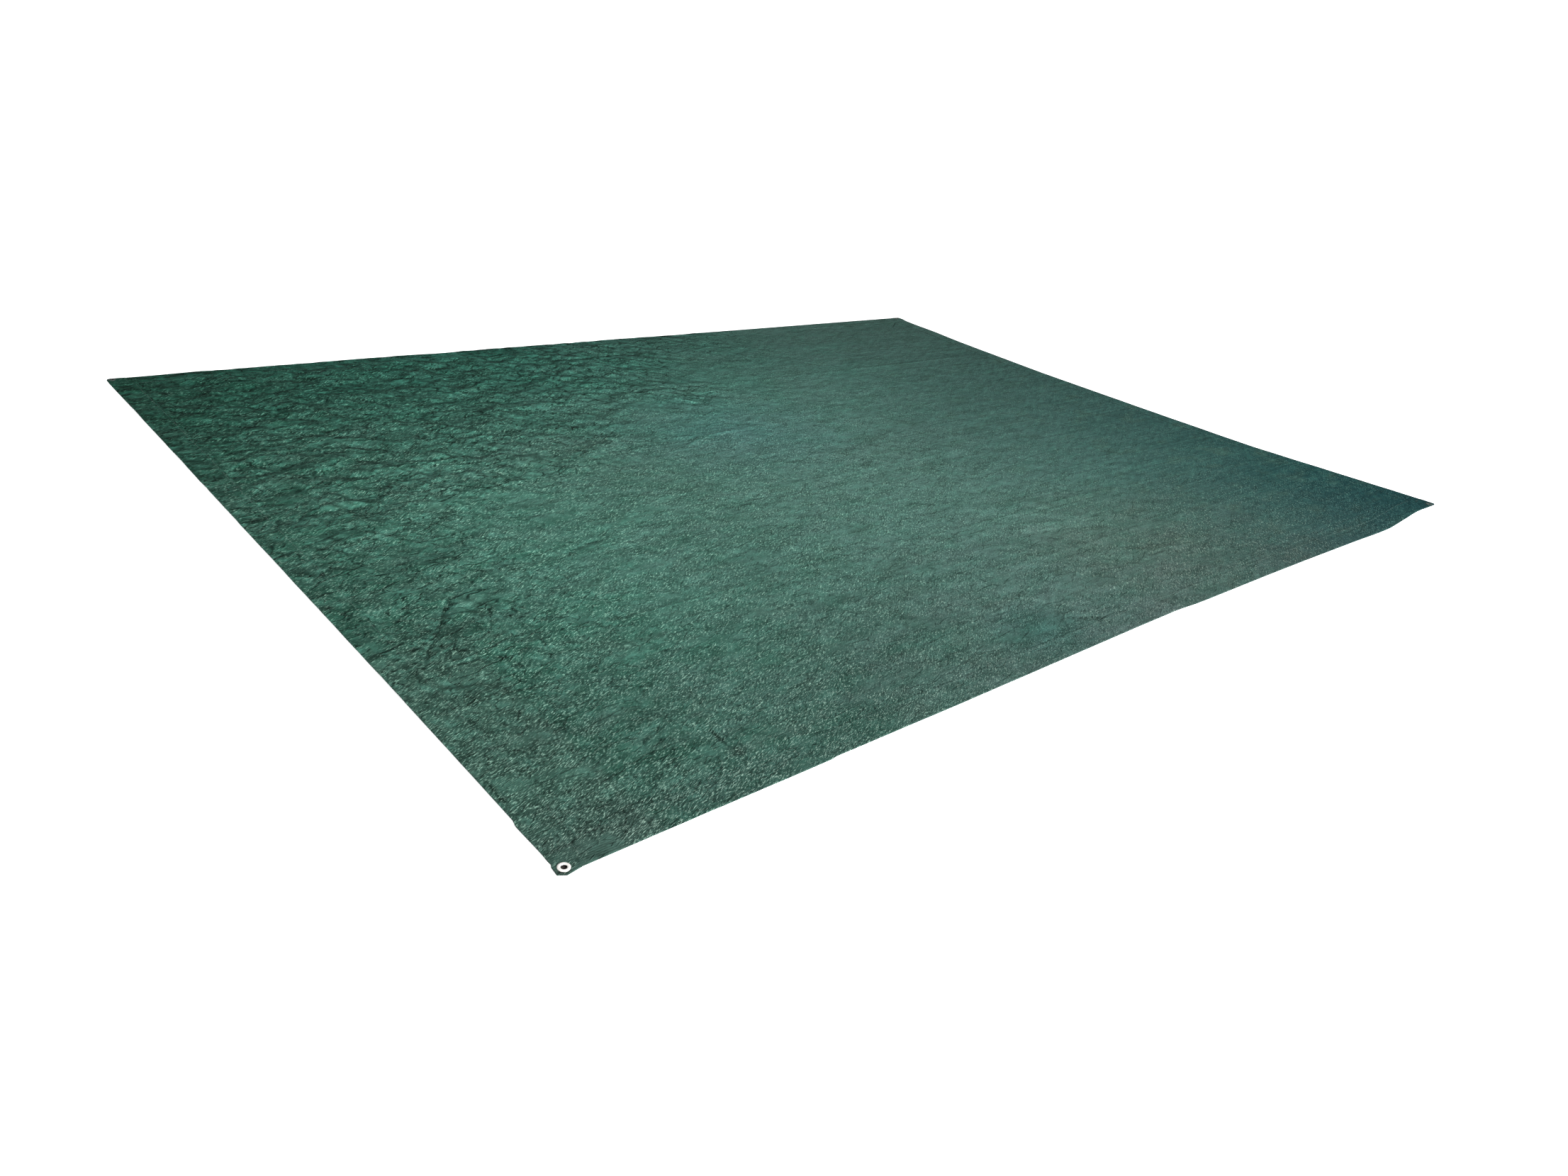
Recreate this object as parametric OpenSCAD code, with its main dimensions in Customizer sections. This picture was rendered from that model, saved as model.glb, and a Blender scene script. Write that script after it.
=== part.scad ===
// Woven ground sheet with turned hems and a metal eyelet in each corner.
// The sheet lies flat. The origin is the middle of its underside, +Z is up,
// +X runs along the long edges and +Y points to the back edge. Millimetres.

/* [Sheet] */
// Finished length, along X
sheet_l = 4000; // [2000:50:6000]
// Finished width, along Y
sheet_w = 3000; // [1500:50:5000]
// Thickness of one layer of cloth
cloth_t = 1.0; // [0.6:0.1:1.6]

/* [Hem] */
// Width of the cloth that is turned over onto the upper face
hem_w = 80; // [60:5:120]
// Gap that is left open along each mitre, where two hems meet
mitre_gap = 0.4; // [0.2:0.1:1]

/* [Corners] */
// Side of the square patch that strengthens each corner
patch_w = 62; // [56:1:90]
// Short side that is cut off the patch at the very corner
patch_tip = 9; // [6:1:9]

/* [Eyelets] */
// Distance from both edges to the middle of an eyelet
eyelet_inset = 14; // [14:0.5:16]
// Diameter of the open hole
hole_d = 12; // [9:0.5:13]
// Wall of the eyelet's barrel
barrel_t = 0.5; // [0.4:0.1:0.8]
// Diameter of the flange that shows on the upper face
flange_d = 25; // [22:0.5:27]
// Height of the domed flange at its crown
flange_h = 1.8; // [1.2:0.1:2.2]
// Diameter of the washer on the underside
washer_d = 24; // [21:0.5:26]
// Thickness of the washer
washer_t = 0.6; // [0.4:0.1:0.9]

/* [Seams] */
// Width of a line of sewing
thread_w = 1.0; // [0.6:0.1:1.4]
// Height of a line of sewing above the cloth
thread_h = 0.4; // [0.3:0.1:0.7]
// Distance from a hem's raw edge to its line of sewing
seam_inset = 7; // [5:1:12]
// Distance from a patch's edge to its line of sewing
patch_seam_inset = 5; // [4:1:7]

/* [Hidden] */

half_l = sheet_l / 2;
half_w = sheet_w / 2;
// The upper faces of the panel, of the hems and of the patches
panel_top = cloth_t;
hem_top = 2 * cloth_t;
patch_top = 3 * cloth_t;
hole_r = hole_d / 2;
barrel_r = hole_r + barrel_t;
flange_r = flange_d / 2;
washer_r = washer_d / 2;
// Side that is cut off the cloth and the hems under each patch, clear of the washer
corner_cut = 2 * eyelet_inset + 0.75 * washer_d + 2;
// The flange rises from a short upright rim into a dome, and comes down again into the hole
rim_h = 0.5;
dome_mid = (hole_r + flange_r) / 2;
dome_half = (flange_r - hole_r) / 2;
dome_h = flange_h - rim_h;
// Each hem keeps half of the mitre gap on its own side of the diagonal
mitre_shift = mitre_gap / (2 * sqrt(2));
ROUND = 72;
CLOTH = [0.13, 0.30, 0.24];
HEM = [0.15, 0.33, 0.27];
PATCH = [0.11, 0.26, 0.21];
THREAD = [0.07, 0.19, 0.15];
METAL = [0.80, 0.81, 0.82];
ZINC = [0.66, 0.67, 0.69];

// A rectangle centred on the origin with each corner cut off at 45 degrees.
module clipped_sheet(length, width, cut) {
    x = length / 2;
    y = width / 2;
    polygon([
        [-x + cut, -y], [x - cut, -y], [x, -y + cut], [x, y - cut],
        [x - cut, y], [-x + cut, y], [-x, y - cut], [-x, -y + cut]
    ]);
}

// One hem in plan, along X, with its folded edge at y = 0 and its raw edge at y = hem_w.
// Its ends are mitred, then cut off where the corner patches take over.
module hem_plan(length) {
    x = length / 2;
    near = corner_cut / 2 + mitre_shift;
    far = hem_w + 2 * mitre_shift;
    rise = corner_cut / 2 - mitre_shift;
    polygon([
        [-x + corner_cut, 0], [x - corner_cut, 0], [x - near, rise],
        [x - far, hem_w], [-x + far, hem_w], [-x + near, rise]
    ]);
}

module hem(length, reach, turn) {
    color(HEM)
        rotate([0, 0, turn])
            translate([0, -reach, panel_top])
                linear_extrude(cloth_t)
                    hem_plan(length);
}

// The line of sewing that holds a hem down, a seam's inset back from its raw edge.
module hem_seam(length, reach, turn) {
    run = length - 2 * (hem_w + seam_inset);
    color(THREAD)
        rotate([0, 0, turn])
            translate([-run / 2, -reach + hem_w - seam_inset - thread_w / 2, hem_top])
                cube([run, thread_w, thread_h]);
}

// Puts a corner piece, drawn for the front left corner, into any of the four corners.
module at_corner(side, end) {
    translate([side * half_l, end * half_w, 0])
        mirror([side > 0 ? 1 : 0, 0, 0])
            mirror([0, end > 0 ? 1 : 0, 0])
                children();
}

// Plan of a patch, with its outer corner at the origin and cut off.
module patch_plan(size) {
    polygon([[patch_tip, 0], [size, 0], [size, size], [0, size], [0, patch_tip]]);
}

// The cloth and hems are cut away under the patch, and it fills that corner down to the ground.
module patch(side, end) {
    color(PATCH)
        at_corner(side, end)
            difference() {
                union() {
                    translate([0, 0, hem_top])
                        linear_extrude(cloth_t)
                            patch_plan(patch_w);
                    linear_extrude(hem_top)
                        polygon([[patch_tip, 0], [corner_cut, 0], [0, corner_cut], [0, patch_tip]]);
                }
                translate([eyelet_inset, eyelet_inset, -1])
                    cylinder(h = patch_top + 2, r = barrel_r, $fn = ROUND);
                translate([eyelet_inset, eyelet_inset, -1])
                    cylinder(h = washer_t + 1, r = washer_r, $fn = ROUND);
            }
}

// Two lines of sewing along the patch's inner edges.
module patch_seam(side, end) {
    far = patch_w - patch_seam_inset;
    near = 3;
    color(THREAD)
        at_corner(side, end)
            translate([0, 0, patch_top])
                linear_extrude(thread_h)
                    polygon([
                        [far, near], [far, far], [near, far],
                        [near, far - thread_w], [far - thread_w, far - thread_w], [far - thread_w, near]
                    ]);
}

// Half section of an eyelet. The last point of the dome closes down the wall of the hole.
module eyelet_section() {
    dome = [for (a = [0 : 15 : 180])
        [dome_mid + dome_half * cos(a), patch_top + rim_h + dome_h * sin(a)]];
    polygon(concat([[hole_r, 0], [barrel_r, 0], [barrel_r, patch_top], [flange_r, patch_top]], dome));
}

// Barrel and flange in one piece: the barrel runs down through the patch and the washer.
module eyelet(side, end) {
    color(METAL)
        at_corner(side, end)
            translate([eyelet_inset, eyelet_inset, 0])
                rotate_extrude($fn = ROUND)
                    eyelet_section();
}

module washer(side, end) {
    color(ZINC)
        at_corner(side, end)
            translate([eyelet_inset, eyelet_inset, 0])
                difference() {
                    cylinder(h = washer_t, r = washer_r, $fn = ROUND);
                    translate([0, 0, -1])
                        cylinder(h = washer_t + 2, r = barrel_r, $fn = ROUND);
                }
}

module panel() {
    color(CLOTH)
        linear_extrude(cloth_t)
            clipped_sheet(sheet_l, sheet_w, corner_cut);
}

module hem_front() { hem(sheet_l, half_w, 0); }
module hem_back() { hem(sheet_l, half_w, 180); }
module hem_left() { hem(sheet_w, half_l, -90); }
module hem_right() { hem(sheet_w, half_l, 90); }
module seam_front() { hem_seam(sheet_l, half_w, 0); }
module seam_back() { hem_seam(sheet_l, half_w, 180); }
module seam_left() { hem_seam(sheet_w, half_l, -90); }
module seam_right() { hem_seam(sheet_w, half_l, 90); }

panel();
hem_front();
hem_back();
hem_left();
hem_right();
seam_front();
seam_back();
seam_left();
seam_right();
patch(-1, -1);  // patch_front_left
patch(1, -1);  // patch_front_right
patch(-1, 1);  // patch_back_left
patch(1, 1);  // patch_back_right
patch_seam(-1, -1);  // patch_seam_front_left
patch_seam(1, -1);  // patch_seam_front_right
patch_seam(-1, 1);  // patch_seam_back_left
patch_seam(1, 1);  // patch_seam_back_right
eyelet(-1, -1);  // eyelet_front_left
eyelet(1, -1);  // eyelet_front_right
eyelet(-1, 1);  // eyelet_back_left
eyelet(1, 1);  // eyelet_back_right
washer(-1, -1);  // washer_front_left
washer(1, -1);  // washer_front_right
washer(-1, 1);  // washer_back_left
washer(1, 1);  // washer_back_right
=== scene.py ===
import math
from itertools import product

import bpy
import numpy as np
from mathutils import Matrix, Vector


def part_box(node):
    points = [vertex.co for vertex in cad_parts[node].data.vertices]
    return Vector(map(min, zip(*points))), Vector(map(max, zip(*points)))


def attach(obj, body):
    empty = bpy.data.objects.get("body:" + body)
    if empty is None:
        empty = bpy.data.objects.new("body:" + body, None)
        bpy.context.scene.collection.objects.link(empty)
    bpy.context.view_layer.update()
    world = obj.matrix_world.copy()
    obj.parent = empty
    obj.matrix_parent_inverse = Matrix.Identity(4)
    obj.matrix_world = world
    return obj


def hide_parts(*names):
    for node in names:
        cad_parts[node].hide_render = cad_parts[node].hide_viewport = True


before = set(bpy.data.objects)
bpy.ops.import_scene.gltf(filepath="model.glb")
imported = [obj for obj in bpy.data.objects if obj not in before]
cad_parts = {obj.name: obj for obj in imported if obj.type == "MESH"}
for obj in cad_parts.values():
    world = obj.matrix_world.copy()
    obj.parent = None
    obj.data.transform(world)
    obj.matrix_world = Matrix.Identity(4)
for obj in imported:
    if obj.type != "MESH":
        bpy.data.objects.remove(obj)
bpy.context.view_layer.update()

# A woven ground sheet that lies flat, with turned hems, sewn corner patches and metal eyelets.
# Metres, in the frame's axes: +X along the long edges, +Y to the back, +Z up from the ground.
# "Nominal" places are on the flat rectangle that was cut. place() turns one into the real place,
# on the cloth as it lies: with its bowed edges, its crumples and its fold marks.

MM = 0.001

# ---------------------------------------------------------------- sizes from the frame

HALF_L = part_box("panel")[1].x
HALF_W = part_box("panel")[1].y
CLOTH_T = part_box("panel")[1].z
HEM_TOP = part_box("hem_front")[1].z
PATCH_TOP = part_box("patch_front_left")[1].z
HEM_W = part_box("hem_front")[1].y + HALF_W
PATCH_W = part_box("patch_front_left")[1].x + HALF_L
# No box gives these two: the side cut off the cloth under each patch, and the eyelet's hole
CORNER_CUT = 48 * MM
HOLE_R = 6 * MM
EYELET_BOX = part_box("eyelet_front_left")
WASHER_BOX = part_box("washer_front_left")
FLANGE_R = (EYELET_BOX[1].x - EYELET_BOX[0].x) / 2
EYELET_TOP = EYELET_BOX[1].z
WASHER_R = (WASHER_BOX[1].x - WASHER_BOX[0].x) / 2
WASHER_T = WASHER_BOX[1].z

ENDS = {"front": -1, "back": 1}
SIDES = {"left": -1, "right": 1}
CORNERS = {f"{e}_{s}": (SIDES[s], ENDS[e]) for e, s in product(ENDS, SIDES)}

# ---------------------------------------------------------------- the cloth as it lies

# How far each edge stands outside the cut rectangle, in mm, at places along it in metres
FRONT_BOW = ((-2.0, 0), (-1.9, -1), (-1.345, -2.5), (-1.325, -5.5), (-0.95, -6.5),
             (0.04, -13), (0.17, -7), (0.65, 0), (1.19, 13), (1.47, 22), (1.67, 9),
             (1.85, -3), (1.93, -1), (2.0, 0))
BACK_BOW = ((-2.0, 1), (-1.8, 3), (-0.19, 3), (-0.16, -4), (-0.12, 3), (0.5, 2), (0.55, 6),
            (0.6, 3), (2.0, 3))
LEFT_BOW = ((-1.5, 5), (-1.43, 0), (-1.345, 1), (-1.325, -3), (-0.9, -4), (0.1, -2),
            (0.9, 0), (1.5, 2))
RIGHT_BOW = ((-1.5, 20), (-1.44, 17), (-1.36, 7), (-1.09, -28), (-0.9, -52), (-0.72, -71),
             (-0.2, -75), (0.35, -72), (0.67, -54), (1.0, -33), (1.2, -9), (1.38, 3), (1.5, 22))
# How far into the cloth the bows at the sides and at the front and back reach, in metres
SIDE_REACH = 1.4
END_REACH = 0.8

# Heights off the ground in mm: the middle of taut cloth, its waves, what slackness adds, the limit
LYING = 1.6
WAVES = 1.2
SLACK_LIFT = 3.0
HIGHEST = 9.5
# Crumples, large to small: height where taut, more where slack (mm), length, width (m), turn, seed
CRUMPLES = (
    (0.4, 3.8, 0.22, 0.10, 30, 11),
    (0.4, 3.2, 0.10, 0.050, -32, 23),
    (0.3, 1.6, 0.048, 0.027, 18, 37),
)
FOLD_WIDTH = 9 * MM
# Straight marks left by the way the sheet was folded in its pack: y, from x, to x, height in mm
PACK_FOLDS = ((0.76, -0.9, 1.75, 1.8), (-0.25, -0.9, 0.6, 0.9), (-0.30, -0.9, 0.6, -0.7),
              (-0.78, -1.95, -1.0, 1.6), (-0.78, -0.15, 0.75, 1.3), (-1.06, -0.6, 0.9, 0.7))
# Sharper creases: from, to, sideways bow, height in mm, half width in mm
CREASES = (
    ((-1.87, -0.71), (-1.75, -0.54), 0.0, -3.0, 6),
    ((-1.92, -0.78), (-1.79, -0.79), 0.0, -3.0, 6),
    ((-1.70, -0.68), (-1.65, -0.58), 0.0, -2.5, 6),
    ((-1.988, -1.29), (-1.984, -1.19), 0.0, -3.0, 5),
    ((-1.51, -1.28), (-1.50, -1.38), 0.0, -4.0, 7),
    ((-1.62, -1.30), (-1.60, -1.22), 0.01, -3.0, 7),
    ((-1.32, -0.40), (-1.20, -0.36), 0.01, -3.0, 7),
    ((-1.45, -0.95), (-1.28, -1.00), 0.01, -2.0, 7),
    ((-1.35, 0.05), (-1.16, 0.12), 0.02, 3.5, 9),
    ((-0.95, -0.62), (-0.80, -0.58), -0.01, -1.5, 8),
    ((-0.30, -1.36), (-0.20, -1.41), 0.0, -3.0, 8),
    ((-0.45, 0.20), (-0.18, 0.26), 0.02, 2.5, 9),
    ((0.02, -0.80), (0.30, -0.90), -0.01, 1.5, 9),
    ((0.12, -0.92), (0.44, -1.00), 0.01, -1.2, 9),
    ((0.30, -1.15), (0.52, -1.22), -0.01, 1.5, 9),
)


def smooth(low, high, value):
    """0 below low, 1 above high, with a soft start and end."""
    t = np.clip((value - low) / (high - low), 0.0, 1.0)
    return t * t * (3 - 2 * t)


def curve_through(points, at):
    """A smooth curve through (place, value) points, read at the given places."""
    place_at, value = np.array(points, float).T
    climb = np.diff(value) / np.diff(place_at)
    before, after = climb[:-1], climb[1:]
    turning = before * after <= 0
    middle = np.where(turning, 0.0, 2 * before * after / np.where(turning, 1.0, before + after))
    slope = np.concatenate([climb[:1], middle, climb[-1:]])
    i = np.clip(np.searchsorted(place_at, at) - 1, 0, len(points) - 2)
    gap = place_at[i + 1] - place_at[i]
    t = np.clip((at - place_at[i]) / gap, 0.0, 1.0)
    start = value[i] * (1 + 2 * t) + slope[i] * gap * t
    end = value[i + 1] * (3 - 2 * t) - slope[i + 1] * gap * (1 - t)
    return start * (1 - t) ** 2 + end * t * t


def chance(ix, iy, seed):
    """A repeatable random number from 0 to 1 for each whole-number cell."""
    h = (ix * 374761393 + iy * 668265263 + seed * 974711) & 0xFFFFFFFF
    h = ((h ^ (h >> 13)) * 1274126177) & 0xFFFFFFFF
    h = ((h ^ (h >> 15)) * 668265263) & 0xFFFFFFFF
    return (h ^ (h >> 16)) / 0xFFFFFFFF


def noise(x, y, seed):
    """Soft random waves of about -1 to 1, a unit from crest to crest."""
    ix, iy = np.floor(x).astype(np.int64), np.floor(y).astype(np.int64)
    fx, fy = x - ix, y - iy

    def corner(dx, dy):
        angle = 2 * math.pi * chance(ix + dx, iy + dy, seed)
        return np.cos(angle) * (fx - dx) + np.sin(angle) * (fy - dy)

    sx, sy = (f * f * f * (f * (f * 6 - 15) + 10) for f in (fx, fy))
    near = corner(0, 0) * (1 - sx) + corner(1, 0) * sx
    far = corner(0, 1) * (1 - sx) + corner(1, 1) * sx
    return 1.5 * (near * (1 - sy) + far * sy)


# The skew that turns a square grid, cut along its diagonals, into even triangles
TO_TRIANGLES = 0.366


def plates(x, y, seed):
    """Random heights of about -1 to 1 joined by flat triangles, which meet in sharp creases."""
    x, y = x + TO_TRIANGLES * (x + y), y + TO_TRIANGLES * (x + y)
    ix, iy = np.floor(x).astype(np.int64), np.floor(y).astype(np.int64)
    fx, fy = x - ix, y - iy
    across = fx > fy
    low, high = chance(ix, iy, seed), chance(ix + 1, iy + 1, seed)
    side = np.where(across, chance(ix + 1, iy, seed), chance(ix, iy + 1, seed))
    big, small = np.maximum(fx, fy), np.minimum(fx, fy)
    return 2 * (low * (1 - big) + side * (big - small) + high * small) - 1


def crumple(x, y, length, width, turn, seed):
    """Flat facets about length by width, about -1 to 1: stiff cloth after it was crumpled."""
    u = (x * math.cos(turn) + y * math.sin(turn)) / length
    v = (y * math.cos(turn) - x * math.sin(turn)) / width
    wander = 0.6 * noise(u / 1.3, v / 1.3, seed + 7)
    stray = 0.6 * noise(u / 1.3 + 40, v / 1.3, seed + 9)
    return plates(u + wander, v + stray, seed)


def crease_line(x, y, start, end, bow, width):
    """1 on a bowed line, fading with a sharp crest to 0 at about three widths."""
    along = np.array(end) - np.array(start)
    length = np.hypot(*along)
    ax, ay = along / length
    t = ((x - start[0]) * ax + (y - start[1]) * ay) / length
    aside = -(x - start[0]) * ay + (y - start[1]) * ax - 4 * bow * t * (1 - t)
    fade = smooth(-0.25, 0.15, t) * (1 - smooth(0.85, 1.25, t))
    return fade * np.exp(-np.hypot(aside, width / 3) / width)


def slackness(x, y):
    """How crumpled the cloth is, 0 to 1: most at the back left, less by the left edge."""
    edge = y - 0.6 * (x + 2.0) + 0.38 + 0.3 * noise(x / 0.5, y / 0.4, 5)
    back = smooth(-0.3, 0.5, edge) * (1 - smooth(-0.3, 1.1, x))
    near = (0.16 + 0.34 * smooth(-1.2, -0.6, y)) * (1 - smooth(-1.85, -1.2, x))
    tangle = 0.75 * (1 - smooth(0.08, 0.30, np.hypot(x + 1.76, 0.9 * (y + 0.64))))
    return np.maximum(np.maximum(back, near), tangle) + 0.1 * (1 - smooth(-0.5, 1.5, x))


def creasing(x, y):
    """The height of the crumples, fold marks and creases, in mm about their mean."""
    slack = slackness(x, y)
    raw = 0.0
    for taut, more, length, width, turn, seed in CRUMPLES:
        facets = crumple(x, y, length, width, math.radians(turn), seed)
        raw = raw + (taut + more * slack) * facets
    for fold_y, start, end, height in PACK_FOLDS:
        wander = 0.006 * noise(x / 0.3, fold_y + 0 * x, 51)
        raw += height * crease_line(x, y - wander, (start, fold_y), (end, fold_y), 0.0, FOLD_WIDTH)
    for start, end, bow, height, width in CREASES:
        raw += height * crease_line(x, y, start, end, bow, width * MM)
    return raw


def lift(x, y):
    """How far the underside of the cloth stands off the ground at a nominal place."""
    raw = WAVES * noise(x / 0.7, y / 0.5, 1) + LYING + SLACK_LIFT * slackness(x, y) + creasing(x, y)
    from_edge = np.minimum(HALF_L - np.abs(x), HALF_W - np.abs(y))
    from_corner = np.hypot(HALF_L - np.abs(x), HALF_W - np.abs(y))
    held = 0.3 + 0.7 * smooth(0.0, 0.2, from_edge)
    flat = smooth(0.09, 0.35, from_corner)
    lying = 0.5 * (raw + np.sqrt(raw * raw + 1.0))
    return np.minimum(lying, HIGHEST + 0.2 * lying) * held * flat * MM


def edge_fade(distance, reach):
    """How much of an edge's bow is left at a distance from that edge."""
    return 1 - smooth(0.0, reach, distance)


def spread(x, y):
    """Where a nominal place lies in plan, with the edges bowed as they are."""
    dx = MM * curve_through(RIGHT_BOW, y) * edge_fade(HALF_L - x, SIDE_REACH)
    dx = dx - MM * curve_through(LEFT_BOW, y) * edge_fade(HALF_L + x, SIDE_REACH)
    dy = MM * curve_through(BACK_BOW, x) * edge_fade(HALF_W - y, END_REACH)
    dy = dy - MM * curve_through(FRONT_BOW, x) * edge_fade(HALF_W + y, END_REACH)
    return x + dx, y + dy


def place(x, y, height):
    """The real place of a point at a nominal place, at a height above the cloth's underside."""
    x, y = np.asarray(x, float), np.asarray(y, float)
    px, py = spread(x, y)
    return np.stack([px, py, lift(x, y) + height], -1)


def marks(x, y, reach=0.008):
    """What the cloth's material reads at each point: valleys, relief in metres, slackness."""
    steps = ((reach, 0), (-reach, 0), (0, reach), (0, -reach))
    around = sum(creasing(x + dx, y + dy) for dx, dy in steps)
    relief = creasing(x, y)
    return {"valley": around / 4 - relief, "relief": relief * MM, "slack": slackness(x, y)}


# ---------------------------------------------------------------- mesh helpers

SHARP = math.radians(55)


def new_piece(name, points, faces, material, painted=None):
    """A mesh piece on the one body, smooth but for its sharp edges, with values for its material."""
    mesh = bpy.data.meshes.new(name)
    mesh.from_pydata(np.asarray(points).reshape(-1, 3).tolist(), [], faces)
    mesh.polygons.foreach_set("use_smooth", [True] * len(mesh.polygons))
    mesh.set_sharp_from_angle(angle=SHARP)
    mesh.materials.append(material)
    for key, values in (painted or {}).items():
        mesh.attributes.new(key, "FLOAT", "POINT").data.foreach_set("value", np.ravel(values))
    mesh.validate()
    piece = bpy.data.objects.new(name, mesh)
    bpy.context.scene.collection.objects.link(piece)
    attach(piece, "root")
    return piece


def grid_faces(rows, columns, first=0, close_rows=False, close_columns=False, flip=False):
    """Four-sided faces over a grid of points, row by row."""
    faces = []
    for r in range(rows if close_rows else rows - 1):
        for c in range(columns if close_columns else columns - 1):
            r2, c2 = (r + 1) % rows, (c + 1) % columns
            face = [r * columns + c, r * columns + c2, r2 * columns + c2, r2 * columns + c]
            faces.append([first + i for i in (reversed(face) if flip else face)])
    return faces


def graded(start, end, first, last):
    """Places from start to end whose spacing grows evenly from first to last."""
    count = int(round((end - start) / ((first + last) / 2)))
    t = np.linspace(0, 1, count + 1)
    grade = (last - first) / (last + first)
    return start + (end - start) * ((1 - grade) * t + grade * t * t)


# ---------------------------------------------------------------- materials


class Shader:
    """A material's nodes, with a short call for each kind used here."""

    def __init__(self, name):
        self.material = bpy.data.materials.new(name)
        self.material.use_nodes = True
        self.tree = self.material.node_tree
        self.surface = self.tree.nodes["Principled BSDF"]
        self.coords = self.node("TexCoord").outputs["Object"]

    def node(self, kind, inputs=None, **settings):
        made = self.tree.nodes.new("ShaderNode" + kind)
        for key, value in settings.items():
            setattr(made, key, value)
        for key, value in (inputs or {}).items():
            self.set(made.inputs[key], value)
        return made

    def set(self, socket, value):
        if isinstance(value, bpy.types.NodeSocket):
            self.tree.links.new(value, socket)
        else:
            socket.default_value = value

    def finish(self, **values):
        for key, value in values.items():
            self.set(self.surface.inputs[key.replace("_", " ")], value)
        return self.material

    def math(self, operation, a, b=0.0, clamp=False):
        return self.node("Math", {0: a, 1: b}, operation=operation, use_clamp=clamp).outputs[0]

    def times(self, a, b):
        return self.math("MULTIPLY", a, b)

    def plus(self, a, b, clamp=False):
        return self.math("ADD", a, b, clamp)

    def minus(self, a, b):
        return self.math("SUBTRACT", a, b)

    def stretched(self, scale, turn=0.0, shift=(0, 0, 0)):
        """Object coordinates in units of scale (metres), turned about Z."""
        turned = self.node(
            "Mapping",
            {"Vector": self.coords, "Rotation": (0, 0, -turn), "Location": shift},
        )
        sized = self.node("Mapping", {"Vector": turned.outputs[0], "Scale": [1 / s for s in scale]})
        return sized.outputs[0]

    def noise(self, vector, scale=1.0, detail=2.0, rough=0.5):
        made = self.node(
            "TexNoise",
            {"Vector": vector, "Scale": scale, "Detail": detail, "Roughness": rough},
        )
        return made.outputs["Fac"]

    def cells(self, vector, feature="F1"):
        return self.node("TexVoronoi", {"Vector": vector, "Scale": 1.0}, feature=feature)

    def remap(self, value, low, high, out_low=0.0, out_high=1.0):
        made = self.node(
            "MapRange",
            {"Value": value, "From Min": low, "From Max": high, "To Min": out_low, "To Max": out_high},
        )
        return made.outputs["Result"]

    def bent(self, size, turn, shift, wander):
        """Stretched coordinates that wander, so that cells along them aren't straight."""
        straight = self.stretched(size, turn, (shift, 0, 0))
        return self.node("VectorMath", {0: straight, 1: wander}, operation="ADD").outputs[0]

    def mix(self, share, a, b, blend="MIX"):
        made = self.node("Mix", data_type="RGBA", blend_type=blend, clamp_factor=True)
        for key, value in ((0, share), (6, a), (7, b)):
            self.set(made.inputs[key], value if not isinstance(value, tuple) else (*value, 1.0))
        return made.outputs[2]

    def blob(self, centre, radius):
        """1 in the middle of a soft ragged patch, 0 outside its radius."""
        per_radius = (1 / radius[0], 1 / radius[1], 0)
        away = self.node("VectorMath", {0: self.coords, 1: (*centre, 0)}, operation="SUBTRACT")
        away = self.node("VectorMath", {0: away.outputs[0], 1: per_radius}, operation="MULTIPLY")
        distance = self.node("VectorMath", {0: away.outputs[0]}, operation="LENGTH").outputs["Value"]
        outline = self.noise(self.stretched(RAGGED), detail=4)
        ragged = self.remap(outline, 0.3, 0.7, -RAGGED_SHARE, RAGGED_SHARE)
        return self.remap(self.plus(distance, ragged), 1.0, 0.0)

    def bump(self, height, distance, strength=1.0, below=None):
        inputs = {"Height": height, "Distance": distance, "Strength": strength}
        if below is not None:
            inputs["Normal"] = below
        return self.node("Bump", inputs).outputs[0]

    def attribute(self, name):
        return self.node("Attribute", attribute_name=name).outputs["Fac"]


DEEP_GREEN = (0.019, 0.068, 0.048)
SHEEN_GREEN = (0.053, 0.108, 0.093)
SLATE_SHADE = (0.011, 0.047, 0.046)
GREYED = (0.035, 0.076, 0.060)
TAPE_GLINT = (0.24, 0.42, 0.33)
RIDGE_HIGHLIGHT = (0.068, 0.205, 0.158)
SHADE = (0.002, 0.010, 0.007)
# Broad changes of colour: middle, radius, and what the colour is multiplied by. The darkening at the
# back left and front right corners is painted shade.
TINTS = {
    "lighter_left": ((-1.2, 0.05), (1.7, 1.1), (1.22, 1.27, 1.24)),
    "green_back": ((-0.9, 1.6), (2.2, 1.4), (0.42, 0.90, 0.80)),
    "teal_front": ((-0.42, -1.36), (0.22, 0.16), (0.70, 0.92, 0.92)),
    "pale_back": ((0.2, 0.65), (1.3, 0.75), (1.12, 1.22, 1.20)),
    "pale_left": ((-1.4, -0.35), (0.5, 1.2), (1.15, 1.20, 1.20)),
    # Painted shade, darker and bluer, at the front right corner
    "painted_shade_front_right": ((2.1, -1.6), (1.1, 0.9), (0.42, 0.74, 0.80)),
    # Painted shade at the back left corner
    "painted_shade_back_left": ((-2.15, 1.55), (0.75, 1.3), (0.53, 0.68, 0.63)),
    "dark_back": ((-0.3, 1.58), (1.3, 0.22), (0.7, 0.75, 0.75)),
    "dark_brown_tip": ((-1.993, -1.493), (0.02, 0.014), (0.40, 0.22, 0.24)),
    "dull_front": ((0.2, -1.85), (3.2, 1.15), (0.95, 0.62, 0.72)),
    "sandy": ((0.55, -1.15), (0.75, 0.55), (1.12, 1.02, 0.97)),
    "blue_middle": ((-0.2, 0.25), (0.6, 0.5), (0.92, 1.0, 1.08)),
}
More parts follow.
